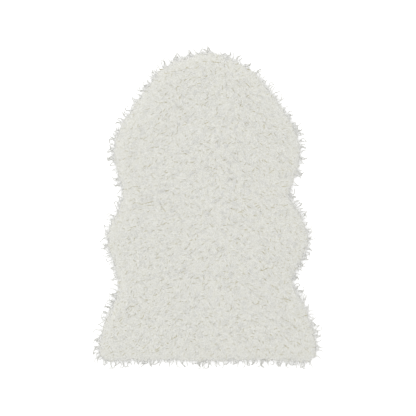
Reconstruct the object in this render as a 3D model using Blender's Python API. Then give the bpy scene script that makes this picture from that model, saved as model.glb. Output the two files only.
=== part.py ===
"""A white sheepskin rug lying flat, wool side up: a thick pelt with a lumpy top and woolly locks at its rim.

Metres, +Z up. The rug lies on Z = 0 with its rounded head towards +Y. The origin is on the floor, at the
middle of the rectangle that the rug and its locks cover.
"""

import math
import random

import bmesh
import bpy
from mathutils import Vector, noise
from mathutils.geometry import delaunay_2d_cdt

# Overall size, from lock tip to lock tip
RUG_WIDTH = 0.602
RUG_LENGTH = 0.850

# The edge of the dense wool, from the head to the base. "along" is the distance up the rug from its middle,
# and "left" and "right" are the half widths there, seen from above with the head at the top.
OUTLINE = (
    # along, left, right
    (0.404, 0.042, 0.042),  # head
    (0.385, 0.097, 0.087),
    (0.356, 0.134, 0.128),
    (0.315, 0.164, 0.164),
    (0.262, 0.200, 0.201),
    (0.210, 0.231, 0.232),
    (0.150, 0.248, 0.247),  # widest part of the head
    (0.100, 0.240, 0.240),
    (0.062, 0.229, 0.226),
    (0.030, 0.224, 0.219),  # upper waist
    (0.005, 0.231, 0.234),
    (-0.022, 0.244, 0.249),
    (-0.054, 0.259, 0.262),
    (-0.092, 0.266, 0.268),  # widest part of the belly
    (-0.138, 0.251, 0.250),
    (-0.170, 0.243, 0.234),
    (-0.196, 0.237, 0.225),  # lower waist
    (-0.222, 0.239, 0.237),
    (-0.254, 0.248, 0.255),
    (-0.291, 0.268, 0.269),
    (-0.327, 0.279, 0.283),
    (-0.362, 0.285, 0.289),  # flared base
    (-0.388, 0.284, 0.287),
    (-0.403, 0.272, 0.278),  # base corners
)
HEAD_TOP = (0.002, 0.413)
BASE_EDGE = ((-0.242, -0.408), (-0.120, -0.406), (0.002, -0.409), (0.122, -0.406), (0.250, -0.411))
CURVE_STEPS = 24  # short straight steps that each stretch of the outline's curve is measured along

# The pile: how high it stands, and how it rounds off towards its edge
PILE_HEIGHT = 0.0265
RIM_HEIGHT = 0.0095
SHOULDER_WIDTH = 0.046
SWELL_HEIGHT = 0.0022  # slow rise and fall of the whole pile
SWELL_SIZE = 0.11

# Tufts: the lumps that the wool gathers into, each a raised point among lower ones on a triangular lattice
TUFT_STEP = 0.0160
TUFT_SHIFT = 0.0032
TUFT_RISE = 0.0046
TUFT_DIP = 0.0030
TUFT_UNEVENNESS = 0.45  # how far a rise or dip may differ from its usual height, as a share of it
TUFT_FADE = 0.40  # share of the rise or dip that is left at the rim
TUFT_EDGE_GAP = 0.0088  # nearest that a lattice point comes to the rim
LATTICE_TURN = math.radians(11)
MERGE_GAP = 1e-6
CREASE_ANGLE = math.radians(50)

# Locks of wool round the rim: each grows from one wall face, and the next face is the gap to its neighbour
LOCK_PITCH = 0.0113
LOCK_ROOT = 0.62  # width of the root, as a share of the pitch
LOCK_SHORT = 0.0085
LOCK_LONG = 0.0195
LOCK_LEAN = math.radians(26)  # furthest that a lock sets off to one side
LOCK_BEND = math.radians(90)  # furthest that it goes on turning towards its tip
LOCK_STRAY = math.radians(5)  # how far one lock's angle may differ from its neighbours'
HOLLOW_SPAN = 6  # rim points each way over which the rim's turning is measured
HOLLOW_TRIM = 0.9  # length that a lock loses for each radian that the rim turns inwards there, as a share
LOCK_SECTIONS = (
    # share of the length, share of the root's width, height of the upper side
    (0.36, 0.82, 0.0076),
    (0.66, 0.56, 0.0054),
    (0.87, 0.30, 0.0034),
)
LOCK_TIP_HEIGHT = 0.0012
LEAN_SIZE = 0.060  # over this distance along the rim, locks lean alike
BEND_SIZE = 0.045  # over this one they bend alike
LENGTH_SIZE = 0.016  # and over this one they are about as long
NOISE_GAIN = 1.7  # brings the noise up to about one at its highest
LEAN_LAYER, BEND_LAYER, LENGTH_LAYER = 3.0, 5.0, 8.0  # heights in the noise that each is read at

SEED = 7


def clear_scene():
    """Removes whatever the scene holds."""
    for old in list(bpy.data.objects):
        bpy.data.objects.remove(old)


def smooth_noise(point, size, layer):
    """Smooth noise from about -1 to 1 that changes over the given distance."""
    value = noise.noise(Vector((point.x / size, point.y / size, layer))) * NOISE_GAIN
    return max(-1.0, min(1.0, value))


def outline_points():
    """The outline's own points, anticlockwise from the base's left end."""
    right_side = [(right, along) for along, _, right in reversed(OUTLINE)]
    left_side = [(-left, along) for along, left, _ in OUTLINE]
    return [Vector(p) for p in (*BASE_EDGE, *right_side, HEAD_TOP, *left_side)]


def spline_point(before, start, end, after, share):
    """A point between start and end on a Catmull-Rom curve."""
    bend = (2 * before - 5 * start + 4 * end - after) * share**2
    twist = (3 * start - before - 3 * end + after) * share**3
    return (2 * start + (end - before) * share + bend + twist) / 2


def smooth_outline():
    """The outline as a smooth closed curve of short straight steps."""
    points = outline_points()
    count = len(points)
    curve = []
    for i, start in enumerate(points):
        before, end, after = points[i - 1], points[(i + 1) % count], points[(i + 2) % count]
        curve += [spline_point(before, start, end, after, k / CURVE_STEPS) for k in range(CURVE_STEPS)]
    return curve


def rim_points(curve):
    """Points round the rim: two for each lock, at its root's two sides, with a gap before the next lock."""
    following = curve[1:] + curve[:1]
    lengths = [(end - start).length for start, end in zip(curve, following)]
    locks = round(sum(lengths) / LOCK_PITCH)
    pitch = sum(lengths) / locks
    wanted = [(i + side) * pitch for i in range(locks) for side in (0.0, LOCK_ROOT)]
    rim, walked = [], 0.0
    for start, end, length in zip(curve, following, lengths):
        while len(rim) < len(wanted) and wanted[len(rim)] < walked + length:
            rim.append(start.lerp(end, (wanted[len(rim)] - walked) / length))
        walked += length
    return rim


def distance_to_rim(point, rim):
    """How far a point lies inside the rim, or a negative distance outside it."""
    nearest, inside = math.inf, False
    for i, start in enumerate(rim):
        side = rim[i - 1] - start
        share = max(0.0, min(1.0, (point - start).dot(side) / side.length_squared))
        nearest = min(nearest, (point - start - side * share).length)
        if (start.y > point.y) != (rim[i - 1].y > point.y):
            crossing = start.x + side.x * (point.y - start.y) / side.y
            inside ^= point.x < crossing
    return nearest if inside else -nearest


def pile_surface(point, inset):
    """Height of the pile's general surface at a point that lies inset from the rim."""
    outer = 1 - min(1.0, inset / SHOULDER_WIDTH)
    shoulder = math.sqrt(1 - outer**2)
    swell = SWELL_HEIGHT * smooth_noise(point, SWELL_SIZE, 0.0)
    return RIM_HEIGHT + (PILE_HEIGHT + swell - RIM_HEIGHT) * shoulder


def tuft_lattice(rim, rng):
    """Lattice points inside the rim, each with its height: tuft tops rise and the points between them dip."""
    reach = int(RUG_LENGTH / TUFT_STEP)
    turn = complex(math.cos(LATTICE_TURN), math.sin(LATTICE_TURN))
    placed = []
    for row in range(-reach, reach + 1):
        for column in range(-reach, reach + 1):
            spot = turn * complex(column + row / 2, row * math.sqrt(3) / 2) * TUFT_STEP
            point = Vector((spot.real, spot.imag))
            if abs(point.x) > RUG_WIDTH / 2 or abs(point.y) > RUG_LENGTH / 2:
                continue
            point += Vector((rng.uniform(-1, 1), rng.uniform(-1, 1))) * TUFT_SHIFT
            inset = distance_to_rim(point, rim)
            if inset < TUFT_EDGE_GAP:
                continue
            is_top = (column - row) % 3 == 0
            lump = TUFT_RISE if is_top else -TUFT_DIP
            lump *= 1 + TUFT_UNEVENNESS * rng.uniform(-1, 1)
            lump *= TUFT_FADE + (1 - TUFT_FADE) * min(1.0, inset / SHOULDER_WIDTH)
            placed.append((point, pile_surface(point, inset) + lump))
    return placed


def top_of_pile(bm, rim, tufts):
    """Joins the rim and the tufts into one triangulated surface. Returns the rim's vertices in order."""
    flat = rim + [point for point, _ in tufts]
    heights = [RIM_HEIGHT] * len(rim) + [height for _, height in tufts]
    border = list(range(len(rim)))
    inside_only = 1
    points, _, faces, came_from, _, _ = delaunay_2d_cdt(flat, [], [border], inside_only, MERGE_GAP)
    made = [bm.verts.new((p.x, p.y, heights[sources[0]])) for p, sources in zip(points, came_from)]
    for face in faces:
        bm.faces.new([made[i] for i in face])
    place_of = {sources[0]: vert for vert, sources in zip(made, came_from)}
    return [place_of[i] for i in border]


def wall_down_to_floor(bm, rim_verts):
    """Extrudes the rim down to the floor and closes the underside. Returns the wall's faces in rim order."""
    following = rim_verts[1:] + rim_verts[:1]
    edges = [bm.edges.get(pair) for pair in zip(rim_verts, following)]
    made = bmesh.ops.extrude_edge_only(bm, edges=edges)["geom"]
    lower = {g for g in made if isinstance(g, bmesh.types.BMVert)}
    for vert in lower:
        vert.co.z = 0.0
    floor_edges = [g for g in made if isinstance(g, bmesh.types.BMEdge) and lower.issuperset(g.verts)]
    bmesh.ops.contextual_create(bm, geom=floor_edges)
    return [next(f for f in edge.link_faces if not lower.isdisjoint(f.verts)) for edge in edges]


def pull_lock(bm, face, outward, length, lean, bend):
    """Draws one wall face out along the floor into a tapering lock that keeps turning towards one side."""
    along = Vector((-outward.y, outward.x, 0.0))
    middle = face.calc_center_median()
    corners = [((v.co - middle).dot(along), v.co.z > middle.z) for v in face.verts]
    reached = 0.0
    for share, width, upper in LOCK_SECTIONS:
        angle = lean + bend * share**2
        forward = outward * math.cos(angle) + along * math.sin(angle)
        across = along * math.cos(angle) - outward * math.sin(angle)
        middle = middle + forward * length * (share - reached)
        reached = share
        face = bmesh.ops.extrude_discrete_faces(bm, faces=[face])["faces"][0]
        for vert, (side, is_upper) in zip(face.verts, corners):
            vert.co = middle + across * side * width
            vert.co.z = upper if is_upper else 0.0
    angle = lean + bend
    tip = middle + (outward * math.cos(angle) + along * math.sin(angle)) * length * (1 - reached)
    tip.z = LOCK_TIP_HEIGHT
    face = bmesh.ops.extrude_discrete_faces(bm, faces=[face])["faces"][0]
    bmesh.ops.pointmerge(bm, verts=face.verts, merge_co=tip)


def inward_turn(rim, i):
    """Angle that the rim turns inwards round one of its points, as at a waist, or 0 where it bulges."""
    before = rim[i] - rim[i - HOLLOW_SPAN]
    after = rim[(i + HOLLOW_SPAN) % len(rim)] - rim[i]
    return max(0.0, before.angle_signed(after))


def grow_locks(bm, rim, wall, rng):
    """Pulls a lock out of every second wall face. Neighbours lean and bend alike, so that they stay apart."""
    for i in range(0, len(rim), 2):
        side = (rim[i + 1] - rim[i]).normalized()
        outward = Vector((side.y, -side.x, 0.0))
        lean = LOCK_LEAN * smooth_noise(rim[i], LEAN_SIZE, LEAN_LAYER) + LOCK_STRAY * rng.uniform(-1, 1)
        bend = LOCK_BEND * smooth_noise(rim[i], BEND_SIZE, BEND_LAYER)
        growth = (1 + smooth_noise(rim[i], LENGTH_SIZE, LENGTH_LAYER)) / 2
        length = LOCK_SHORT + (LOCK_LONG - LOCK_SHORT) * growth
        length *= 1 - HOLLOW_TRIM * inward_turn(rim, i)
        pull_lock(bm, wall[i], outward, length, lean, bend)


def fit_to_size(bm):
    """Centres the rug over the origin and brings it to its overall width and length."""
    xs = [v.co.x for v in bm.verts]
    ys = [v.co.y for v in bm.verts]
    middle = Vector(((min(xs) + max(xs)) / 2, (min(ys) + max(ys)) / 2, 0.0))
    size = Vector((RUG_WIDTH / (max(xs) - min(xs)), RUG_LENGTH / (max(ys) - min(ys)), 1.0))
    bmesh.ops.translate(bm, vec=-middle, verts=bm.verts)
    bmesh.ops.scale(bm, vec=size, verts=bm.verts)


def wool():
    """Off-white wool: matt, with a little sheen."""
    material = bpy.data.materials.new("white_wool")
    material.use_nodes = True
    surface = material.node_tree.nodes["Principled BSDF"]
    surface.inputs["Base Color"].default_value = (0.70, 0.70, 0.65, 1.0)
    surface.inputs["Roughness"].default_value = 0.9
    surface.inputs["Metallic"].default_value = 0.0
    surface.inputs["Sheen Weight"].default_value = 0.25
    return material


def sheepskin():
    """The rug as one solid: flat underside, lumpy wool on top, locks at the rim."""
    rng = random.Random(SEED)
    rim = rim_points(smooth_outline())
    bm = bmesh.new()
    rim_verts = top_of_pile(bm, rim, tuft_lattice(rim, rng))
    wall = wall_down_to_floor(bm, rim_verts)
    grow_locks(bm, rim, wall, rng)
    fit_to_size(bm)
    bmesh.ops.recalc_face_normals(bm, faces=bm.faces)
    mesh = bpy.data.meshes.new("sheepskin")
    bm.to_mesh(mesh)
    bm.free()
    mesh.shade_smooth()
    mesh.set_sharp_from_angle(angle=CREASE_ANGLE)
    mesh.materials.append(wool())
    return bpy.data.objects.new("sheepskin", mesh)


def main():
    clear_scene()
    rug = bpy.data.collections.new("sheepskin_rug")
    bpy.context.scene.collection.children.link(rug)
    rug.objects.link(sheepskin())


main()
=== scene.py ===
"""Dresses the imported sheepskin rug: its hide, undercoat, fleece, deep wool and edge curls, on a pale studio floor."""

import math
import random

import bmesh
import bpy
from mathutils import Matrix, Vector, noise
from mathutils.bvhtree import BVHTree
from mathutils.kdtree import KDTree


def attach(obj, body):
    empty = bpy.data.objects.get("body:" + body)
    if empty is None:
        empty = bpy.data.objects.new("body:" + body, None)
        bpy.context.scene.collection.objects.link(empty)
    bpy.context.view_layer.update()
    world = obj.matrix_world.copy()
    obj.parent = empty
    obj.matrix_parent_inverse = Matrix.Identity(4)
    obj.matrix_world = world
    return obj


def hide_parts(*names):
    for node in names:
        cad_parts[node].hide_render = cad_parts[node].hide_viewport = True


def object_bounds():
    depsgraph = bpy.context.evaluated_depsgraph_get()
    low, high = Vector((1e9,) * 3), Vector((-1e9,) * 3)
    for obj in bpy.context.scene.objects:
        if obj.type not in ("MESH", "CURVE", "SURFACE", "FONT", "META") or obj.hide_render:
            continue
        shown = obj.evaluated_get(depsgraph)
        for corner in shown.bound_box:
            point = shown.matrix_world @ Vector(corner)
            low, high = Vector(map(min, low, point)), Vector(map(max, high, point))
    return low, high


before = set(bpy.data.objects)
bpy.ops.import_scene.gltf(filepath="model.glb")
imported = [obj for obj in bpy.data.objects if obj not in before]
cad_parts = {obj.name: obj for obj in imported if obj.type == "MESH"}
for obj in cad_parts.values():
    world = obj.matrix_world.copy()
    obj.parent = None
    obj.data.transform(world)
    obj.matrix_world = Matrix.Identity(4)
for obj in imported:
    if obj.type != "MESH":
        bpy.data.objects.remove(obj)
cad_low, cad_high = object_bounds()


# ---- The cut of the pelt ----
# A sheepskin rug is one pelt, trimmed to a rounded head, two waists and a flared base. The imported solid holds
# that cut: its upper surface, smoothed, is the top of the wool, and that surface's border is where the dense wool
# ends.
MERGE_DISTANCE = 0.00001
LOCKS_TOP = 0.0085  # the solid's locks lie below this height, and its pile above
PILE_SMOOTHINGS = 6
PILE_SMOOTHING = 0.5
EDGE_SPLITS = 4  # samples along each side of the border
EDGE_FALL = 0.016  # past the border, the wool's top falls to the floor over this distance,
EDGE_STEEPNESS = 1.5  # and above 1, fastest at first
CLEAR_HEIGHT = 1.0  # above everything, so the wool's top is looked for downwards from here

pile = bmesh.new()
pile.from_mesh(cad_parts["sheepskin"].data)
bmesh.ops.remove_doubles(pile, verts=pile.verts, dist=MERGE_DISTANCE)
bmesh.ops.delete(pile, geom=[v for v in pile.verts if v.co.z < LOCKS_TOP], context="VERTS")
bmesh.ops.subdivide_edges(pile, edges=pile.edges, cuts=1, use_grid_fill=True)
for _ in range(PILE_SMOOTHINGS):
    inner = [v for v in pile.verts if not v.is_boundary]
    bmesh.ops.smooth_vert(
        pile, verts=inner, factor=PILE_SMOOTHING, use_axis_x=True, use_axis_y=True, use_axis_z=True,
    )
bmesh.ops.recalc_face_normals(pile, faces=pile.faces)

following = {}
for side in (e for e in pile.edges if e.is_boundary):
    first = side.link_loops[0].vert
    following[first] = side.other_vert(first)
border = [next(iter(following))]
while following[border[-1]] != border[0]:
    border.append(following[border[-1]])
border = [v.co.copy() for v in border]
rim_height = border[0].z

outwards = []
for before, after in zip(border[-1:] + border[:-1], border[1:] + border[:1]):
    outwards.append(Vector((after.y - before.y, before.x - after.x, 0.0)).normalized())

edge_points = []
for i, here in enumerate(border):
    after = (i + 1) % len(border)
    for k in range(EDGE_SPLITS):
        share = k / EDGE_SPLITS
        place = here.lerp(border[after], share)
        edge_points.append((place, outwards[i].lerp(outwards[after], share).normalized()))


def search_tree(places):
    """A tree that finds the nearest of the given places, seen from above."""
    tree = KDTree(len(places))
    for i, place in enumerate(places):
        tree.insert((place.x, place.y, 0.0), i)
    tree.balance()
    return tree


edge_tree = search_tree([place for place, _ in edge_points])
pile_tree = BVHTree.FromBMesh(pile)


def inset_at(x, y):
    """Distance inside the border, negative outside it, and the outward direction at the nearest border point."""
    _, index, _ = edge_tree.find((x, y, 0.0))
    place, outward = edge_points[index]
    return (place.x - x) * outward.x + (place.y - y) * outward.y, outward


def wool_top(x, y):
    """Height of the top of the wool, which falls away to the floor past the border."""
    hit = pile_tree.ray_cast(Vector((x, y, CLEAR_HEIGHT)), Vector((0.0, 0.0, -1.0)))[0]
    if hit is not None:
        return hit.z
    inset, _ = inset_at(x, y)
    return rim_height * max(0.0, 1.0 + inset / EDGE_FALL) ** EDGE_STEEPNESS


# ---- The hide ----
# Tanned sheepskin, about 2 mm thick, lying flat with its suede side on the floor. It is cut a little inside the
# line where the wool ends, and the wool grows from its upper side.
HIDE_THICKNESS = 0.002
HIDE_INSET = 0.0110
FLOOR_GAP = 0.0003
# A value of its noise, and the tone there.
SUEDE_TONES = ((0.35, (0.55, 0.46, 0.35, 1.0)), (0.68, (0.66, 0.58, 0.47, 1.0)))


def make_piece(name, shape):
    """An object at the origin that holds a finished shape."""
    mesh = bpy.data.meshes.new(name)
    shape.to_mesh(mesh)
    shape.free()
    piece = bpy.data.objects.new(name, mesh)
    bpy.context.scene.collection.objects.link(piece)
    return piece


def new_material(name, roughness, sheen=0.0):
    """A material, its node tree and its shader."""
    material = bpy.data.materials.new(name)
    material.use_nodes = True
    surface = material.node_tree.nodes["Principled BSDF"]
    surface.inputs["Roughness"].default_value = roughness
    surface.inputs["Sheen Weight"].default_value = sheen
    return material, material.node_tree, surface


def add_noise(tree, scale, detail, distortion=0.0):
    """A pattern of noise over a piece, in the piece's own coordinates."""
    coords = tree.nodes.new("ShaderNodeTexCoord")
    pattern = tree.nodes.new("ShaderNodeTexNoise")
    pattern.inputs["Scale"].default_value = scale
    pattern.inputs["Detail"].default_value = detail
    pattern.inputs["Distortion"].default_value = distortion
    tree.links.new(coords.outputs["Object"], pattern.inputs["Vector"])
    return pattern.outputs["Fac"]


def add_tones(tree, value, tones):
    """The colour that a value picks from tones, which pair a value and a colour in rising order."""
    ramp = tree.nodes.new("ShaderNodeValToRGB")
    elements = ramp.color_ramp.elements
    elements.remove(elements[-1])
    elements[0].position, elements[0].color = tones[0]
    for position, colour in tones[1:]:
        elements.new(position).color = colour
    tree.links.new(value, ramp.inputs["Fac"])
    return ramp.outputs["Color"]


def add_relief(tree, surface, height, strength, distance):
    """Fine relief of a surface, from a pattern of heights."""
    bump = tree.nodes.new("ShaderNodeBump")
    bump.inputs["Strength"].default_value = strength
    bump.inputs["Distance"].default_value = distance
    tree.links.new(height, bump.inputs["Height"])
    tree.links.new(bump.outputs["Normal"], surface.inputs["Normal"])


hide_bm = bmesh.new()
cut_line = []
for place, outward in zip(border, outwards):
    x, y = place.x - outward.x * HIDE_INSET, place.y - outward.y * HIDE_INSET
    cut_line.append(hide_bm.verts.new((x, y, FLOOR_GAP)))
under_face = hide_bm.faces.new(cut_line)
hide_area = under_face.calc_area()
raised = bmesh.ops.extrude_face_region(hide_bm, geom=[under_face])["geom"]
raised_verts = [g for g in raised if isinstance(g, bmesh.types.BMVert)]
bmesh.ops.translate(hide_bm, vec=(0.0, 0.0, HIDE_THICKNESS), verts=raised_verts)
bmesh.ops.triangulate(hide_bm, faces=hide_bm.faces)
bmesh.ops.recalc_face_normals(hide_bm, faces=hide_bm.faces)
hide = make_piece("hide", hide_bm)

suede, tree, surface = new_material("suede_back", roughness=0.92, sheen=0.3)
nap = add_noise(tree, scale=45.0, detail=6.0)
tree.links.new(add_tones(tree, nap, SUEDE_TONES), surface.inputs["Base Color"])
grain = add_noise(tree, scale=900.0, detail=3.0)
add_relief(tree, surface, grain, strength=0.5, distance=0.0004)
hide.data.materials.append(suede)

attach(hide, "root")


# ---- The undercoat ----
# Short dense wool, a pale greyish beige, that fills the pelt to just under the top of the fleece and shows in the
# gaps between its curls. Its ragged edge stays a few millimetres inside the border, and drops to the hide there.
UNDERCOAT_SHARE = 0.957  # its height, as a share of the wool's
UNDERCOAT_SLOPE = 0.014  # nearer to the border than this, it draws in and sinks a little, most at the border:
UNDERCOAT_INSET = 0.0050  # it draws in by this distance there,
UNDERCOAT_SINK = 0.08  # and sinks by this share of its height
UNDERCOAT_TUFT_DEPTH, UNDERCOAT_TUFT_SIZE, UNDERCOAT_TUFT_LAYER = 0.0035, 0.008, 83.0  # the tufts along its edge
UNDERCOAT_FLARE = 0.0015  # its foot lies this much further out than its upper edge
# A value of its noise, and the tone there.
UNDERCOAT_TONES = ((0.36, (0.575, 0.57, 0.505, 1.0)), (0.62, (0.69, 0.69, 0.65, 1.0)))
NOISE_GAIN = 1.7  # brings the noise to a range of about -1 to 1


def smooth_noise(x, y, size, layer):
    """Smooth noise from about -1 to 1 that changes over the given distance. Each layer is a pattern of its own."""
    return noise.noise(Vector((x / size, y / size, layer))) * NOISE_GAIN


under_bm = pile.copy()
pile.free()
for vert in under_bm.verts:
    inset, outward = inset_at(vert.co.x, vert.co.y)
    near = max(0.0, 1.0 - inset / UNDERCOAT_SLOPE)
    tuft = UNDERCOAT_TUFT_DEPTH * smooth_noise(vert.co.x, vert.co.y, UNDERCOAT_TUFT_SIZE, UNDERCOAT_TUFT_LAYER)
    vert.co -= outward * ((UNDERCOAT_INSET + tuft) * near)
    vert.co.z = wool_top(vert.co.x, vert.co.y) * UNDERCOAT_SHARE * (1.0 - UNDERCOAT_SINK * near**2)
sides = [e for e in under_bm.edges if e.is_boundary]
walls = bmesh.ops.extrude_edge_only(under_bm, edges=sides)["geom"]
feet = [g for g in walls if isinstance(g, bmesh.types.BMVert)]
wall_tops = []
for vert in feet:
    _, outward = inset_at(vert.co.x, vert.co.y)
    wall_tops.append((vert.co.copy(), outward))
    vert.co += outward * UNDERCOAT_FLARE
    vert.co.z = FLOOR_GAP + HIDE_THICKNESS / 2
foot_line = [g for g in walls if isinstance(g, bmesh.types.BMEdge) and set(feet).issuperset(g.verts)]
bmesh.ops.contextual_create(under_bm, geom=foot_line)
bmesh.ops.recalc_face_normals(under_bm, faces=under_bm.faces)
undercoat = make_piece("undercoat", under_bm)
undercoat.data.shade_smooth()

short_wool, tree, surface = new_material("undercoat_wool", roughness=0.95, sheen=0.1)
fibre = add_noise(tree, scale=260.0, detail=5.0, distortion=0.8)
tree.links.new(add_tones(tree, fibre, UNDERCOAT_TONES), surface.inputs["Base Color"])
add_relief(tree, surface, fibre, strength=0.8, distance=0.0015)
undercoat.data.materials.append(short_wool)

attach(undercoat, "root")
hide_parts("sheepskin")


# ---- The fleece ----
# Off-white wool: tens of thousands of soft curls, gathered into small locks. The curls of a lock lie side by side,
# bend alike and draw together at their tips; the locks lie outwards from the spine and swirl in groups.
FLEECE_PIECES = ("fleece_head", "fleece_shoulders", "fleece_belly", "fleece_loins", "fleece_base")
SEED = 11

# The nap: which way the wool lies.
SPINE_SHIFT = 0.038  # the spine runs this far right of the middle
NAP_SIDES = 0.045  # left and right naps mix within this distance of the spine,
NAP_SIDES_SIZE, NAP_SIDES_LAYER = 0.03, 51.0  # in tongues of this size,
NAP_SIDES_STRAY = 0.03  # and single locks stray over it by about this much
NAP_DROP = (math.radians(32), math.radians(6))  # how far below level the nap points, in general and at mid length,
NAP_DROP_SPAN = 0.07  # which this distance from mid length ends
NAP_SWIRLS = ((0.050, math.radians(30)), (0.022, math.radians(45)))  # size and angle of the groups' swirls
NAP_LAYER_STEP = 10.0
EDGE_COMBING = 0.034  # nearer to the border than this, the nap turns outwards,
EDGE_CALM = 0.5  # and its swirls lose up to this share

# The locks.
LOCK_SPACING = 0.0110
LOCK_SHIFT = 0.0042
LOCK_INSET = -0.004  # the middles of locks may lie this far past the border
LOCK_STRAY = math.radians(12)
LOCK_TURN = math.radians(75)  # how far a lock usually turns from root to tip,
LOCK_TURN_SIZE, LOCK_TURN_LAYER = 0.028, 71.0  # much alike over this distance,
LOCK_TURN_STRAY = 0.25  # with this share of it a lock's own
LOCK_WAVE = math.radians(38)  # how far it weaves from side to side
LOCK_GATHER = (0.0, 0.25)  # how much a lock narrows from root to tip
EDGE_GATHER = 0.15  # how much more it narrows near the border
LOCK_LAYERS = 0.0002  # how far a whole lock may lie above or below the pile's surface
LOCK_TIP_LIFT = (-0.0004, 0.0003)
LOCK_TINT = 0.8  # spread of the locks' tints
TIP_INSETS = (0.0035, 0.0115)  # how near to the border a lock's tips may come
TIP_UNEVENNESS = 0.0050  # how much nearer or further its single curls end

# The curls: flattened tubes that thin to their tips.
CURL_SPACING = 0.00365
CURL_SHIFT = 0.0011
CURL_INSET = 0.0015
CURL_LENGTHS = (0.014, 0.020)
CURL_RADII = (0.0012, 0.0015)
CURL_ROOT_RADIUS = 0.75  # as a share of the radius at mid length
CURL_TAPER = (0.72, 5)  # how much it thins, and how late
CURL_STEPS = 4
CURL_SEAT = 2  # the step of a curl that lies over its place, where the curl shows most
CURL_STRAY = math.radians(9)
CURL_TURNS = (0.85, 1.15)  # its turn, as a share of its lock's
CURL_ROOT_DEPTH = 0.0048
CURL_LAYERS = 0.0003  # how far a curl may lie above or below its lock
CURL_TINT = 0.6  # spread of the tints in a lock
TURN_DELAY = 1.4  # above 1, a curl bends most towards its tip
WAVES = 1.2  # to and fro along a curl
WAVE_PHASES = 40.0  # how far its wave's size moves its wave's start
STRAND_SIDES = 3
STRAND_FLATNESS = 0.6  # a strand's height over its width

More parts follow.
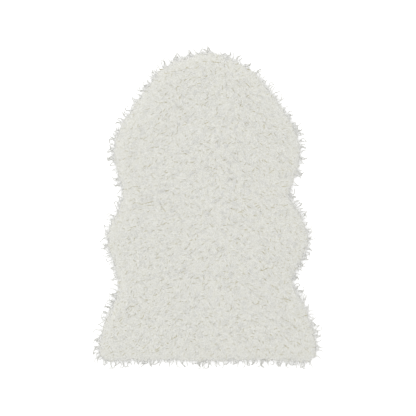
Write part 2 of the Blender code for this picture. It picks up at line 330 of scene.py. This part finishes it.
# Partings that show as dark flecks, placed where the photograph shows them, in its pixels: across and down to the
# middle, tilt in degrees anticlockwise, and length. A pixel is PIXEL metres, and the rug's middle is at PHOTO_MIDDLE.
PIXEL = 0.00263
PHOTO_MIDDLE = (208.1, 207.9)
PARTING_HALF_WIDTH = 0.0012
PARTING_MARGIN = 0.004  # a curl that touches a parting's side lies nearer to it than this
SAME_PLACE = 1e-6  # nearer to a parting's middle line than this, a curl has no side to move to
FAINT_SPACING = 0.0145  # fainter partings between those, a step apart
FAINT_SHIFT = 0.007
FAINT_INSET = 0.008
FAINT_SHARE = 0.65
FAINT_STRAY = math.radians(25)
FAINT_HALF_LENGTHS = (0.0014, 0.0055)
FAINT_HALF_WIDTH = 0.0008
PARTINGS = (
    # across, down, tilt, length
    (166.9, 74.1, 5, 5.7), (161.2, 70.0, 0, 4.0), (204.2, 62.3, -10, 3.5), (215.5, 62.4, -12, 10.0),
    (236.4, 65.2, 0, 2.5), (205.8, 77.3, 0, 4.0), (199.6, 84.3, 0, 2.5), (177.7, 87.9, 23, 5.0),
    (185.7, 80.8, 35, 4.0), (197.3, 68.2, 40, 4.0), (187.2, 69.0, 0, 4.0), (180.6, 98.5, 30, 3.5),
    (161.6, 103.7, 5, 4.0), (166.0, 103.1, 35, 3.0), (181.6, 109.8, 30, 2.5), (179.8, 117.4, 0, 2.2),
    (185.4, 114.0, 30, 2.5), (161.0, 116.5, 45, 2.2), (158.3, 124.5, 25, 5.0), (164.4, 132.8, 25, 6.5),
    (184.1, 125.8, 20, 4.0), (140.2, 126.8, 30, 4.0), (201.4, 144.4, 0, 3.0), (222.4, 88.5, 85, 3.5),
    (227.5, 98.5, 0, 2.2), (247.5, 86.3, -45, 5.0), (247.6, 96.8, 35, 4.0), (267.0, 95.0, 30, 3.0),
    (240.6, 104.0, 80, 4.8), (238.3, 115.6, -45, 2.5), (253.9, 112.0, 0, 3.0), (246.3, 123.5, 10, 5.0),
    (206.4, 123.5, 20, 4.0), (263.5, 127.2, 90, 4.0), (274.2, 127.2, 0, 2.5), (269.2, 134.8, 35, 4.0),
    (261.2, 144.8, -45, 4.0), (248.2, 69.8, 0, 2.2), (210.0, 167.6, -20, 4.0), (215.5, 169.4, -15, 3.5),
    (224.5, 160.3, 0, 2.5), (253.2, 170.4, 60, 4.0), (257.0, 168.6, -30, 4.0), (271.1, 171.9, 35, 6.5),
    (265.0, 161.5, -40, 4.5), (283.4, 170.3, 20, 3.0), (284.5, 186.6, 5, 6.5), (267.6, 188.3, -40, 2.5),
    (270.5, 191.5, -40, 2.5), (261.5, 195.3, -40, 4.5), (235.4, 199.9, 22, 5.0), (243.7, 199.1, -5, 3.5),
    (255.2, 203.9, 20, 2.5), (247.9, 206.5, -30, 3.5), (258.7, 207.4, 25, 2.8), (272.1, 207.7, -5, 3.8),
    (266.4, 208.4, 0, 2.2), (232.0, 208.9, -12, 5.5), (240.5, 212.2, 3, 4.5), (285.4, 205.5, 18, 5.5),
    (262.5, 215.1, 80, 3.0), (255.2, 215.0, 0, 2.2), (267.3, 223.4, 0, 2.5), (288.7, 225.0, 80, 2.8),
    (224.5, 225.4, 0, 2.5), (258.4, 233.0, -65, 5.0), (241.8, 235.2, -45, 2.6), (245.6, 229.7, 0, 2.6),
    (270.2, 240.0, 80, 3.0), (279.4, 238.7, 75, 2.6), (237.0, 242.8, 80, 3.0), (262.8, 245.4, -20, 5.0),
    (268.6, 248.9, 88, 4.8), (263.8, 252.7, -35, 3.0), (272.7, 265.8, 80, 4.4), (283.9, 262.9, 80, 2.6),
    (261.4, 269.8, 3, 4.0), (265.2, 268.6, 30, 3.0), (287.7, 259.7, 0, 2.2), (260.0, 261.6, -35, 3.0),
    (139.0, 191.3, -35, 4.0), (148.5, 202.6, 14, 10.0), (134.4, 202.8, 30, 4.0), (163.6, 209.0, -50, 6.5),
    (149.2, 166.2, 35, 4.0), (144.4, 168.4, 0, 2.5), (139.4, 176.4, 0, 2.5), (166.6, 173.0, 0, 2.5),
    (186.5, 204.0, -35, 3.5), (148.6, 211.3, 30, 3.0), (174.2, 214.7, 35, 3.0), (146.6, 231.1, 0, 3.5),
    (135.2, 226.6, 0, 2.5), (129.8, 242.6, 40, 3.5), (176.5, 243.8, 0, 2.8), (165.4, 223.1, 20, 3.0),
    (159.7, 256.8, 0, 4.0), (191.1, 240.0, 20, 2.5), (136.9, 281.9, 70, 2.8), (146.8, 299.1, 0, 2.8),
    (143.0, 316.0, 60, 5.0), (121.3, 319.2, 50, 4.6), (169.0, 302.3, 40, 3.0), (174.4, 337.0, 30, 5.5),
    (112.6, 336.8, 20, 3.2), (168.1, 342.8, -35, 3.0), (144.2, 347.0, 45, 3.4), (157.6, 347.9, 32, 5.5),
    (143.9, 351.4, 20, 4.2), (133.4, 353.0, 20, 2.8), (109.8, 346.3, 50, 3.2), (132.7, 306.1, 20, 4.0),
    (135.3, 340.6, -35, 3.5), (182.6, 271.5, 20, 3.0), (201.8, 321.2, 0, 2.8), (227.6, 278.4, 35, 3.4),
    (236.4, 282.2, 30, 3.2), (264.4, 278.8, -40, 3.4), (243.7, 273.4, 0, 2.5), (271.6, 285.3, -35, 3.6),
    (272.0, 293.3, 0, 2.5), (285.4, 299.2, -12, 10.0), (256.7, 303.2, 30, 4.0), (230.7, 309.0, 60, 3.4),
    (238.3, 317.8, 30, 3.4), (236.4, 322.0, 0, 2.8), (220.0, 321.2, 85, 3.6), (252.1, 335.8, 0, 3.4),
    (280.4, 334.6, -35, 3.2), (270.5, 334.2, -35, 2.8), (285.8, 345.4, -35, 6.0), (298.0, 342.7, -35, 3.6),
    (306.4, 349.2, -38, 5.5), (289.6, 340.7, 0, 3.4), (257.1, 348.4, 0, 2.8), (294.2, 326.6, -35, 3.6),
    (302.6, 321.2, 0, 2.6), (286.5, 320.1, -35, 3.0), (275.1, 327.7, 30, 3.4), (304.9, 315.1, 10, 3.0),
)

# The wool's tones: a place along a curl, from 0.0 at its root to 1.0 at its tip, and the tone there. The darker,
# yellower roots are painted shade for the depth at which they lie. Towards the pelt's edge the tones turn to a grey
# that is painted shade, for the shadow that the outermost wool lies in.
WOOL_TONES = (
    (0.0, (0.735, 0.73, 0.665, 1.0)), (0.28, (0.77, 0.767, 0.717, 1.0)), (0.55, (0.806, 0.806, 0.78, 1.0)),
)
PAINTED_EDGE_SHADE = (0.625, 0.625, 0.585, 1.0)
OUTER_START, OUTER_SPAN = 0.001, 0.007  # they turn wholly to the painted edge shade from this inset outwards, over this distance,
RIM_START, RIM_SPAN, RIM_SHADE_SHARE = 0.026, 0.012, 0.05  # and by this share, as painted shade too, from this inset, over this distance
TINT_REACH = 2.5  # tints run from minus this to this,
TINT_SHADES = (0.95, 1.04)  # and scale the tones by this much

rng = random.Random(SEED)


def clamped(share):
    """The share, kept from 0 to 1."""
    return max(0.0, min(1.0, share))


def between(ends, share):
    """The value at a share of the way from one end to the other."""
    return ends[0] + (ends[1] - ends[0]) * share


def tapered(radius, taper, share):
    """The radius at a share of the way along a curl, with a taper that says how much it thins and how late."""
    loss, lateness = taper
    return radius * (1.0 - loss * share**lateness)


def lattice(spacing, shift, least_inset):
    """Places over the pelt, a jittered step apart, no nearer to its border than the given inset."""
    rise = spacing * math.sqrt(3) / 2
    rows, columns = int(cad_high.y / rise) + 1, int(cad_high.x / spacing) + 1
    for row in range(-rows, rows + 1):
        for column in range(-columns, columns + 1):
            x = (column + (row % 2) / 2) * spacing + rng.uniform(-1, 1) * shift
            y = row * rise + rng.uniform(-1, 1) * shift
            if inset_at(x, y)[0] >= least_inset:
                yield x, y


def nap_heading(x, y):
    """The way that the wool lies at a place, as an angle."""
    inset, outward = inset_at(x, y)
    drop = between(NAP_DROP, math.exp(-((y / NAP_DROP_SPAN) ** 2)))
    tongue = NAP_SIDES * smooth_noise(x, y, NAP_SIDES_SIZE, NAP_SIDES_LAYER)
    to_right = x - SPINE_SHIFT + tongue + rng.gauss(0.0, NAP_SIDES_STRAY) > 0.0
    combed = Vector((math.cos(drop) if to_right else -math.cos(drop), -math.sin(drop), 0.0))
    pull = clamped(1.0 - inset / EDGE_COMBING)
    way = combed.lerp(outward, pull * pull * (3.0 - 2.0 * pull))
    heading = math.atan2(way.y, way.x)
    for i, (size, angle) in enumerate(NAP_SWIRLS):
        heading += angle * smooth_noise(x, y, size, NAP_LAYER_STEP * i) * (1.0 - EDGE_CALM * pull)
    return heading


parting_lines = []
for across, down, tilt, length in PARTINGS:
    middle = Vector(((across - PHOTO_MIDDLE[0]) * PIXEL, (PHOTO_MIDDLE[1] - down) * PIXEL, 0.0))
    direction = Vector((math.cos(math.radians(tilt)), math.sin(math.radians(tilt)), 0.0))
    parting_lines.append((middle, direction, length * PIXEL / 2, PARTING_HALF_WIDTH))
faint_from = len(parting_lines)
for x, y in lattice(FAINT_SPACING, FAINT_SHIFT, FAINT_INSET):
    if rng.random() < FAINT_SHARE:
        heading = nap_heading(x, y) + rng.gauss(0.0, FAINT_STRAY)
        direction = Vector((math.cos(heading), math.sin(heading), 0.0))
        parting_lines.append((Vector((x, y, 0.0)), direction, rng.uniform(*FAINT_HALF_LENGTHS), FAINT_HALF_WIDTH))
parting_tree = search_tree([middle for middle, _, _, _ in parting_lines])
parting_reach = max(half for _, _, half, _ in parting_lines) + PARTING_MARGIN


def curl_way(x, y, heading, length, turn, wave, steps):
    """Where a curl runs, seen from above: it keeps turning one way, and weaves as it goes."""
    way = [Vector((x, y, 0.0))]
    phase = wave * WAVE_PHASES
    for k in range(steps):
        share = (k + 0.5) / steps
        angle = heading + turn * share**TURN_DELAY + wave * math.sin(2.0 * math.pi * share * WAVES + phase)
        way.append(way[-1] + Vector((math.cos(angle), math.sin(angle), 0.0)) * (length / steps))
    return way


def part_wool(point, radius):
    """Moves a point of a curl sideways out of any parting that it would cover."""
    for _, index, _ in parting_tree.find_range((point.x, point.y, 0.0), parting_reach):
        middle, direction, half, half_width = parting_lines[index]
        apart = Vector((point.x, point.y, 0.0)) - middle
        along = apart.dot(direction)
        if abs(along) > half:
            continue
        across = apart - direction * along
        room = half_width * math.sqrt(1.0 - (along / half) ** 2) + radius
        if across.length < room:
            sideways = Vector((-direction.y, direction.x, 0.0))
            away = across.normalized() if across.length > SAME_PLACE else sideways
            point += away * (room - across.length)


# Geometry nodes spin the strands: they draw a flattened ring along each middle line, as wide as the line says.
spinner = bpy.data.node_groups.new("spin_wool", "GeometryNodeTree")
spinner.interface.new_socket("Geometry", in_out="INPUT", socket_type="NodeSocketGeometry")
spinner.interface.new_socket("Geometry", in_out="OUTPUT", socket_type="NodeSocketGeometry")
given = spinner.nodes.new("NodeGroupInput")
to_curves = spinner.nodes.new("GeometryNodeMeshToCurve")
thickness = spinner.nodes.new("GeometryNodeInputNamedAttribute")
thickness.data_type = "FLOAT"
thickness.inputs["Name"].default_value = "thickness"
ring = spinner.nodes.new("GeometryNodeCurvePrimitiveCircle")
ring.inputs["Resolution"].default_value = STRAND_SIDES
ring.inputs["Radius"].default_value = 1.0
upright = spinner.nodes.new("GeometryNodeSetCurveNormal")
upright.mode = "Z_UP"
flatten = spinner.nodes.new("GeometryNodeTransform")
flatten.inputs["Scale"].default_value = (STRAND_FLATNESS, 1.0, 1.0)
flatten.inputs["Rotation"].default_value = (0.0, 0.0, math.radians(-90))
to_tubes = spinner.nodes.new("GeometryNodeCurveToMesh")
to_tubes.inputs["Fill Caps"].default_value = True
smooth = spinner.nodes.new("GeometryNodeSetShadeSmooth")
made = spinner.nodes.new("NodeGroupOutput")
spinner.links.new(given.outputs["Geometry"], to_curves.inputs["Mesh"])
spinner.links.new(to_curves.outputs["Curve"], upright.inputs["Curve"])
spinner.links.new(upright.outputs["Curve"], to_tubes.inputs["Curve"])
spinner.links.new(thickness.outputs["Attribute"], to_tubes.inputs["Scale"])
spinner.links.new(ring.outputs["Curve"], flatten.inputs["Geometry"])
spinner.links.new(flatten.outputs["Geometry"], to_tubes.inputs["Profile Curve"])
spinner.links.new(to_tubes.outputs["Mesh"], smooth.inputs["Geometry"])
spinner.links.new(smooth.outputs["Geometry"], made.inputs["Geometry"])


def spin_curls(name, curls, root_place=0.0):
    """One piece of closed tapering tubes, each spun round the middle line of a curl. Its roots take the tone that
    wool has at the given place along a curl, from 0.0 at the root to 1.0 at the tip."""
    lines = bmesh.new()
    thickness = lines.verts.layers.float.new("thickness")
    along = lines.verts.layers.float.new("along")
    tint = lines.verts.layers.float.new("tint")
    edge_shade = lines.verts.layers.float.new("edge_shade")
    for points, radii, shade in curls:
        last = None
        for k, (point, radius) in enumerate(zip(points, radii)):
            vert = lines.verts.new(point)
            vert[thickness], vert[tint] = radius, shade
            vert[along] = root_place + (1.0 - root_place) * k / (len(points) - 1)
            # The painted edge shade: how far this point's tone turns to the grey that stands for the shade at the
            # pelt's edge.
            inset = inset_at(point.x, point.y)[0]
            inside = RIM_SHADE_SHARE * clamped((RIM_START - inset) / RIM_SPAN)
            vert[edge_shade] = max(inside, min(1.0, (OUTER_START - inset) / OUTER_SPAN))
            if last is not None:
                lines.edges.new((last, vert))
            last = vert
    middle_lines = make_piece(name + "_lines", lines)
    spinning = middle_lines.modifiers.new("spin", "NODES")
    spinning.node_group = spinner
    graph = bpy.context.evaluated_depsgraph_get()
    spun = bpy.data.meshes.new_from_object(middle_lines.evaluated_get(graph))
    spun.name = name
    bpy.data.objects.remove(middle_lines)
    piece = bpy.data.objects.new(name, spun)
    bpy.context.scene.collection.objects.link(piece)
    return piece


locks = []
for x, y in lattice(LOCK_SPACING, LOCK_SHIFT, LOCK_INSET):
    shared_turn = smooth_noise(x, y, LOCK_TURN_SIZE, LOCK_TURN_LAYER)
    at_edge = inset_at(x, y)[0] < EDGE_COMBING / 2
    locks.append({
        "middle": Vector((x, y, 0.0)),
        "heading": nap_heading(x, y) + rng.gauss(0.0, LOCK_STRAY),
        "turn": LOCK_TURN * (shared_turn + rng.gauss(0.0, LOCK_TURN_STRAY)),
        "wave": LOCK_WAVE * rng.uniform(-1, 1),
        "gather": rng.uniform(*LOCK_GATHER) + (EDGE_GATHER if at_edge else 0.0),
        "layer": LOCK_LAYERS * rng.uniform(-1, 1),
        "tip_lift": rng.uniform(*LOCK_TIP_LIFT),
        "tip_inset": rng.uniform(*TIP_INSETS),
        "tint": rng.gauss(0.0, LOCK_TINT),
    })
lock_tree = search_tree([lock["middle"] for lock in locks])

curls = []
for x, y in lattice(CURL_SPACING, CURL_SHIFT, CURL_INSET):
    _, index, _ = lock_tree.find((x, y, 0.0))
    lock = locks[index]
    heading = lock["heading"] + rng.gauss(0.0, CURL_STRAY)
    turn = lock["turn"] * rng.uniform(*CURL_TURNS)
    radius = rng.uniform(*CURL_RADII)
    height = lock["layer"] + rng.uniform(-1, 1) * CURL_LAYERS
    offset = Vector((x, y, 0.0)) - lock["middle"]
    points = curl_way(x, y, heading, rng.uniform(*CURL_LENGTHS), turn, lock["wave"], CURL_STEPS)
    shift = Vector((x, y, 0.0)) - points[CURL_SEAT]
    tip_inset, tip_outward = inset_at(points[-1].x + shift.x, points[-1].y + shift.y)
    least_inset = lock["tip_inset"] + rng.uniform(-1, 1) * TIP_UNEVENNESS
    if tip_inset < least_inset:
        shift += tip_outward * (tip_inset - least_inset)
    radii = []
    for k, point in enumerate(points):
        share = k / CURL_STEPS
        swell = CURL_ROOT_RADIUS + (1.0 - CURL_ROOT_RADIUS) * math.sin(math.pi * share)
        thick = tapered(radius * swell, CURL_TAPER, share)
        point += shift - offset * (lock["gather"] * share**2)
        part_wool(point, thick)
        sunk = CURL_ROOT_DEPTH * (1.0 - share) ** 2
        point.z = wool_top(point.x, point.y) - thick + height - sunk + lock["tip_lift"] * share**2
        point.z = max(point.z, thick + FLOOR_GAP)
        radii.append(thick)
    curls.append((points, radii, lock["tint"] + rng.gauss(0.0, CURL_TINT)))

curls.sort(key=lambda curl: -curl[0][0].y)
per_piece = math.ceil(len(curls) / len(FLEECE_PIECES))
fleece = [
    spin_curls(name, curls[i * per_piece:(i + 1) * per_piece]) for i, name in enumerate(FLEECE_PIECES)
]

wool, tree, surface = new_material("white_wool", roughness=0.85, sheen=0.15)
surface.inputs["Sheen Roughness"].default_value = 0.5
place = tree.nodes.new("ShaderNodeAttribute")
place.attribute_name = "along"
# The tones turn towards a grey, painted shade for the pelt's edge, as far as each point's edge shade says.
rim_place = tree.nodes.new("ShaderNodeAttribute")
rim_place.attribute_name = "edge_shade"
edge_shade_mix = tree.nodes.new("ShaderNodeMix")
edge_shade_mix.data_type = "RGBA"
edge_shade_mix.inputs["B"].default_value = PAINTED_EDGE_SHADE
shade = tree.nodes.new("ShaderNodeAttribute")
shade.attribute_name = "tint"
vary = tree.nodes.new("ShaderNodeMapRange")
vary.inputs["From Min"].default_value, vary.inputs["From Max"].default_value = -TINT_REACH, TINT_REACH
vary.inputs["To Min"].default_value, vary.inputs["To Max"].default_value = TINT_SHADES
scale = tree.nodes.new("ShaderNodeVectorMath")
scale.operation = "SCALE"
tree.links.new(rim_place.outputs["Fac"], edge_shade_mix.inputs["Factor"])
tree.links.new(add_tones(tree, place.outputs["Fac"], WOOL_TONES), edge_shade_mix.inputs["A"])
tree.links.new(shade.outputs["Fac"], vary.inputs["Value"])
tree.links.new(edge_shade_mix.outputs["Result"], scale.inputs[0])
tree.links.new(vary.outputs["Result"], scale.inputs["Scale"])
tree.links.new(scale.outputs["Vector"], surface.inputs["Base Color"])
fibre = add_noise(tree, scale=1500.0, detail=2.0)
add_relief(tree, surface, fibre, strength=0.5, distance=0.0003)

for piece in fleece:
    piece.data.materials.append(wool)
    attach(piece, "root")
    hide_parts("sheepskin")


# ---- The deep wool ----
# Where the fleece parts, yellowish curls like the others lie along each parting, a little below the surface,
# darkened as painted shade for the shadow down in the parting.
DEEP_DEPTH = 0.0001
DEEP_DIP = 0.0010  # how far its ends sink into the fleece
DEEP_RADIUS_SHARE = 0.85  # of the parting's half width,
DEEP_END_SHARE = 0.35  # and of that radius at its ends
DEEP_LENGTH_SHARE = 1.4  # of the parting's length, as its ends run on under the fleece
DEEP_BEND = 0.20  # how far a deep curl bows sideways, as a share of the parting's length
DEEP_STEPS = 5
DEEP_SHADINGS, FAINT_SHADINGS = (0.75, 1.1), (0.0, 0.65)  # how far each is darkened towards the painted shade, here and in the fainter partings,
DEEP_PALE, DEEP_DARK = (0.62, 0.60, 0.49, 1.0), (0.39, 0.343, 0.152, 1.0)  # from the one tone to the other

deep_curls = []
for i, (middle, direction, half, half_width) in enumerate(parting_lines):
    aside = Vector((-direction.y, direction.x, 0.0))
    bow = DEEP_BEND * half * 2 * rng.uniform(-1, 1)
    points, radii = [], []
    for k in range(DEEP_STEPS + 1):
        share = k / DEEP_STEPS
        from_middle = DEEP_LENGTH_SHARE * half * (2 * share - 1)
        point = middle + direction * from_middle + aside * (bow * (4 * share * (1 - share) - 0.5))
        swell = DEEP_END_SHARE + (1.0 - DEEP_END_SHARE) * math.sin(math.pi * share)
        thick = half_width * DEEP_RADIUS_SHARE * swell
        depth = DEEP_DEPTH + DEEP_DIP * (2 * share - 1) ** 4
        point.z = max(wool_top(point.x, point.y) - depth - thick, thick + FLOOR_GAP)
        points.append(point)
        radii.append(thick)
    shadings = DEEP_SHADINGS if i < faint_from else FAINT_SHADINGS
    deep_curls.append((points, radii, rng.uniform(*shadings)))
deep = spin_curls("deep_wool", deep_curls)

# The deep curls mix from a pale yellowish tone to a dark one, which is painted shade.
deep_shade_material, tree, surface = new_material("shaded_yellow_wool", roughness=0.9)
shading = tree.nodes.new("ShaderNodeAttribute")
shading.attribute_name = "tint"
deep_shade_mix = tree.nodes.new("ShaderNodeMix")
deep_shade_mix.data_type = "RGBA"
deep_shade_mix.inputs["A"].default_value = DEEP_PALE
deep_shade_mix.inputs["B"].default_value = DEEP_DARK
tree.links.new(shading.outputs["Fac"], deep_shade_mix.inputs["Factor"])
tree.links.new(deep_shade_mix.outputs["Result"], surface.inputs["Base Color"])
deep.data.materials.append(deep_shade_material)

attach(deep, "root")
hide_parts("sheepskin")


# ---- The edge curls ----
# The outermost wool: single curls that stray past the dense fleece all round the pelt and lie out over the floor,
# bent into hooks and S-shapes. Short curls run down the pelt's side under them, as a skirt.
EDGE_SPACING = 0.0018
EDGE_SPACINGS = (0.7, 1.3)  # as a share of that
EDGE_ROOTS = (0.006, 0.011)  # inset of the roots
EDGE_ROOT_DEPTH = 0.003
EDGE_ROOT_PLACE = 0.45  # roots have the tone that the fleece's curls have at this place along them
EDGE_LEAST_REACH, EDGE_MEAN_REACH, EDGE_MOST_REACH = -0.006, 0.0080, 0.018  # how far past the border curls reach
EDGE_TUFT_DEPTH, EDGE_TUFT_SIZE, EDGE_TUFT_LAYER = 0.0024, 0.007, 29.0  # the tufts in which their reaches vary
EDGE_LEAN = math.radians(12)  # how far curls lean to one side together,
EDGE_LEAN_SIZE, EDGE_LEAN_LAYER = 0.02, 37.0  # in stretches of this size,
EDGE_STRAY = math.radians(28)  # and each by itself
EDGE_TURN = (math.radians(60), math.radians(170))
EDGE_WAVE = math.radians(45)
EDGE_TOP_SHARE = 0.97  # how high they start, as a share of the wool's height
EDGE_DROOPS = (0.20, 0.50)  # how far the near and far curls sink towards their tips, as a share of the same,
EDGE_DROOP_REACH = 0.015  # the far ones being those that reach at least this far
EDGE_LIFTS = (-0.001, 0.002)  # a curl's own rise at its tip
EDGE_RADII = (0.0009, 0.0013)
EDGE_TAPER = (0.4, 3)
EDGE_STEPS = 6
EDGE_TINT = 1.0
SKIRT_CURLS = 2  # to each point of the undercoat's border
SKIRT_REACHES = (0.0015, 0.0035)
SKIRT_SHIFT = 0.0014
SKIRT_SWAY = 0.003
SKIRT_DEPTH = 0.003  # how far below the undercoat's upper edge they may start, and above the floor end
SKIRT_CROOK = 1.6  # above 1, they go outwards first and then down
SKIRT_RADII = (0.0010, 0.0013)
SKIRT_TAPER = (0.6, 3)
SKIRT_STEPS = 4

edge_curls = []
left = 0.0
for i, (place, outward) in enumerate(edge_points):
    left -= (edge_points[(i + 1) % len(edge_points)][0] - place).length
    while left < 0.0:
        left += EDGE_SPACING * rng.uniform(*EDGE_SPACINGS)
        inset = rng.uniform(*EDGE_ROOTS)
        start = place - outward * inset
        turn = rng.choice((-1, 1)) * rng.uniform(*EDGE_TURN)
        heading = math.atan2(outward.y, outward.x) + rng.gauss(0.0, EDGE_STRAY) - turn / 2
        heading += EDGE_LEAN * smooth_noise(place.x, place.y, EDGE_LEAN_SIZE, EDGE_LEAN_LAYER)
        reach = EDGE_LEAST_REACH + rng.expovariate(1.0 / (EDGE_MEAN_REACH - EDGE_LEAST_REACH))
        tuft = EDGE_TUFT_DEPTH * smooth_noise(place.x, place.y, EDGE_TUFT_SIZE, EDGE_TUFT_LAYER)
        reach = min(reach, EDGE_MOST_REACH) + tuft
        droop = between(EDGE_DROOPS, clamped(reach / EDGE_DROOP_REACH))
        length = (inset + reach) * (turn / 2) / math.sin(turn / 2)
        radius = rng.uniform(*EDGE_RADII)
        points = curl_way(start.x, start.y, heading, length, turn, EDGE_WAVE * rng.uniform(-1, 1), EDGE_STEPS)
        lift = rng.uniform(*EDGE_LIFTS)
        radii = []
        for k, point in enumerate(points):
            share = k / EDGE_STEPS
            thick = tapered(radius, EDGE_TAPER, share)
            sunk = EDGE_ROOT_DEPTH * (1.0 - share) ** 4
            top = wool_top(point.x, point.y) * (EDGE_TOP_SHARE - droop * share)
            point.z = top - thick - sunk + lift * share
            point.z = max(point.z, thick + FLOOR_GAP)
            radii.append(thick)
        edge_curls.append((points, radii, rng.gauss(0.0, EDGE_TINT)))

for top, outward in wall_tops:
    aside = Vector((-outward.y, outward.x, 0.0))
    for _ in range(SKIRT_CURLS):
        radius = rng.uniform(*SKIRT_RADII)
        reach = rng.uniform(*SKIRT_REACHES)
        start = top - outward * radius + aside * (SKIRT_SHIFT * rng.uniform(-1, 1))
        start.z = top.z - radius - rng.uniform(0.0, SKIRT_DEPTH)
        tip_height = FLOOR_GAP + radius + rng.uniform(0.0, SKIRT_DEPTH)
        sway = SKIRT_SWAY * rng.uniform(-1, 1)
        points, radii = [], []
        for k in range(SKIRT_STEPS + 1):
            share = k / SKIRT_STEPS
            point = start + outward * (reach * math.sin(math.pi / 2 * share)) + aside * (sway * share)
            point.z = start.z + (tip_height - start.z) * share**SKIRT_CROOK
            points.append(point)
            radii.append(tapered(radius, SKIRT_TAPER, share))
        edge_curls.append((points, radii, rng.gauss(0.0, EDGE_TINT)))

# They wear the fleece's material, so its painted edge shade greys them near and past the border.
edge = spin_curls("edge_curls", edge_curls, EDGE_ROOT_PLACE)
edge.data.materials.append(wool)

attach(edge, "root")
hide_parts("sheepskin")


# ---- The studio ----
# A plain pale floor, an even bright surround and one wide soft lamp, with the camera straight above the rug.
FLOOR_SIZE = 12.0
FLOOR_TONE, FLOOR_GLOW = (0.93, 0.93, 0.93, 1.0), 0.2
WHITE = (1.0, 1.0, 1.0, 1.0)
SURROUND_BRIGHTNESS = 1.08
LAMP_PLACE = Vector((-1.2, 1.6, 2.4))
LAMP_SIZE, LAMP_WATTS = 2.4, 14.0
PHOTO_SIZE = 416  # across and down, in pixels
CAMERA_HEIGHT = 3.6
SENSOR_WIDTH = 36.0

floor_bm = bmesh.new()
bmesh.ops.create_grid(floor_bm, x_segments=1, y_segments=1, size=FLOOR_SIZE / 2)
floor = make_piece("floor", floor_bm)
paper, tree, surface = new_material("pale_floor", roughness=0.9)
surface.inputs["Base Color"].default_value = FLOOR_TONE
surface.inputs["Emission Color"].default_value = WHITE
surface.inputs["Emission Strength"].default_value = FLOOR_GLOW
floor.data.materials.append(paper)

world = bpy.data.worlds.new("studio")
world.use_nodes = True
world.node_tree.nodes["Background"].inputs["Color"].default_value = WHITE
world.node_tree.nodes["Background"].inputs["Strength"].default_value = SURROUND_BRIGHTNESS
bpy.context.scene.world = world

lamp_data = bpy.data.lights.new("softbox", "AREA")
lamp_data.shape = "RECTANGLE"
lamp_data.size = LAMP_SIZE
lamp_data.size_y = LAMP_SIZE
lamp_data.energy = LAMP_WATTS
lamp = bpy.data.objects.new("softbox", lamp_data)
lamp.location = LAMP_PLACE
lamp.rotation_euler = LAMP_PLACE.to_track_quat("Z", "Y").to_euler()
bpy.context.scene.collection.objects.link(lamp)

camera_data = bpy.data.cameras.new("camera")
camera_data.sensor_width = SENSOR_WIDTH
camera_data.lens = SENSOR_WIDTH * CAMERA_HEIGHT / (PHOTO_SIZE * PIXEL)
camera = bpy.data.objects.new("camera", camera_data)
camera_x, camera_y = (PHOTO_SIZE / 2 - PHOTO_MIDDLE[0]) * PIXEL, (PHOTO_MIDDLE[1] - PHOTO_SIZE / 2) * PIXEL
camera.location = (camera_x, camera_y, CAMERA_HEIGHT)
bpy.context.scene.collection.objects.link(camera)
bpy.context.scene.camera = camera
bpy.context.scene.view_settings.view_transform = "Standard"
